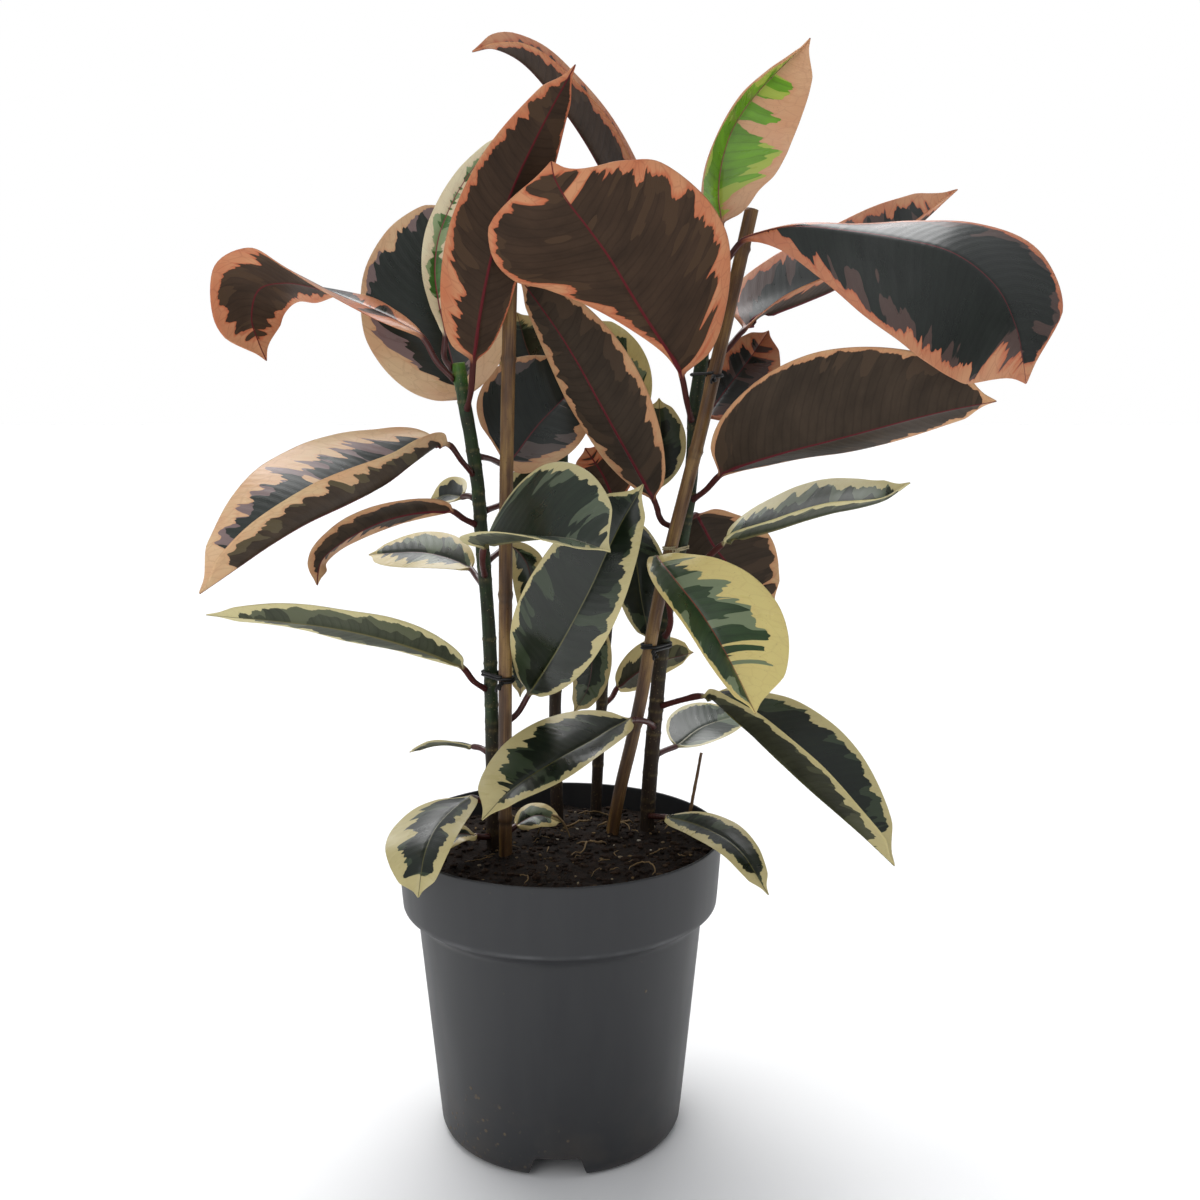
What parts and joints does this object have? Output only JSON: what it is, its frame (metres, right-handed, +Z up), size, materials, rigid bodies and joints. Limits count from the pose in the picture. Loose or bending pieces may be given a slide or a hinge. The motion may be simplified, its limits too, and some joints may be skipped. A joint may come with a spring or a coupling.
{
  "type": "potted rubber plant",
  "caption": "Variegated rubber plant with broad leathery leaves on cane-staked stems, rooted in potting soil in a tapered round nursery pot with a deep collar and drain channels.",
  "frame": {"origin": "On the pot's axis, at the plane that the pot stands on", "axes": "+Z up along the pot's axis, -Y towards the plant's front, +X to the right of someone facing the front"},
  "size_m": [0.5301, 0.2409, 0.6929],
  "materials": {
    "pot": "satin moulded, dark grey",
    "soil": "matte, moist peat potting soil",
    "stem": "matte, green to brown bark",
    "cane": "dull, split bamboo cane",
    "dry_stalk": "matte, dry",
    "tie": "black plastic band",
    "twine": "pale twine",
    "leaf": "glossy above, matte below, variegated green, cream and pink"
  },
  "bodies": {
    "root": {"cane_left": "cane", "cane_right": "cane", "dry_stalk": "dry_stalk", "leaf_back_left_01": "leaf", "leaf_back_left_02": "leaf", "leaf_back_left_03": "leaf", "leaf_back_right_01": "leaf", "leaf_back_right_02": "leaf", "leaf_back_right_03": "leaf", "leaf_back_right_04": "leaf", "leaf_back_right_05": "leaf", "leaf_left_01": "leaf", "leaf_left_02": "leaf", "leaf_left_03": "leaf", "leaf_left_04": "leaf", "leaf_left_05": "leaf", "leaf_left_06": "leaf", "leaf_left_07": "leaf", "leaf_left_08": "leaf", "leaf_left_09": "leaf", "leaf_left_10": "leaf", "leaf_left_11": "leaf", "leaf_left_12": "leaf", "leaf_left_13": "leaf", "leaf_left_14": "leaf", "leaf_left_15": "leaf", "leaf_left_16": "leaf", "leaf_left_17": "leaf", "leaf_left_18": "leaf", "leaf_right_01": "leaf", "leaf_right_02": "leaf", "leaf_right_03": "leaf", "leaf_right_04": "leaf", "leaf_right_05": "leaf", "leaf_right_06": "leaf", "leaf_right_07": "leaf", "leaf_right_08": "leaf", "leaf_right_09": "leaf", "leaf_right_10": "leaf", "leaf_right_11": "leaf", "leaf_right_12": "leaf", "leaf_right_13": "leaf", "leaf_right_14": "leaf", "leaf_right_15": "leaf", "pot": "pot", "soil": "soil", "stem_back_left": "stem", "stem_back_right": "stem", "stem_left": "stem", "stem_right": "stem", "tie_left": "tie", "tie_right": "tie", "tie_right_top": "tie", "twine_right": "twine"}
  },
  "joints": []
}
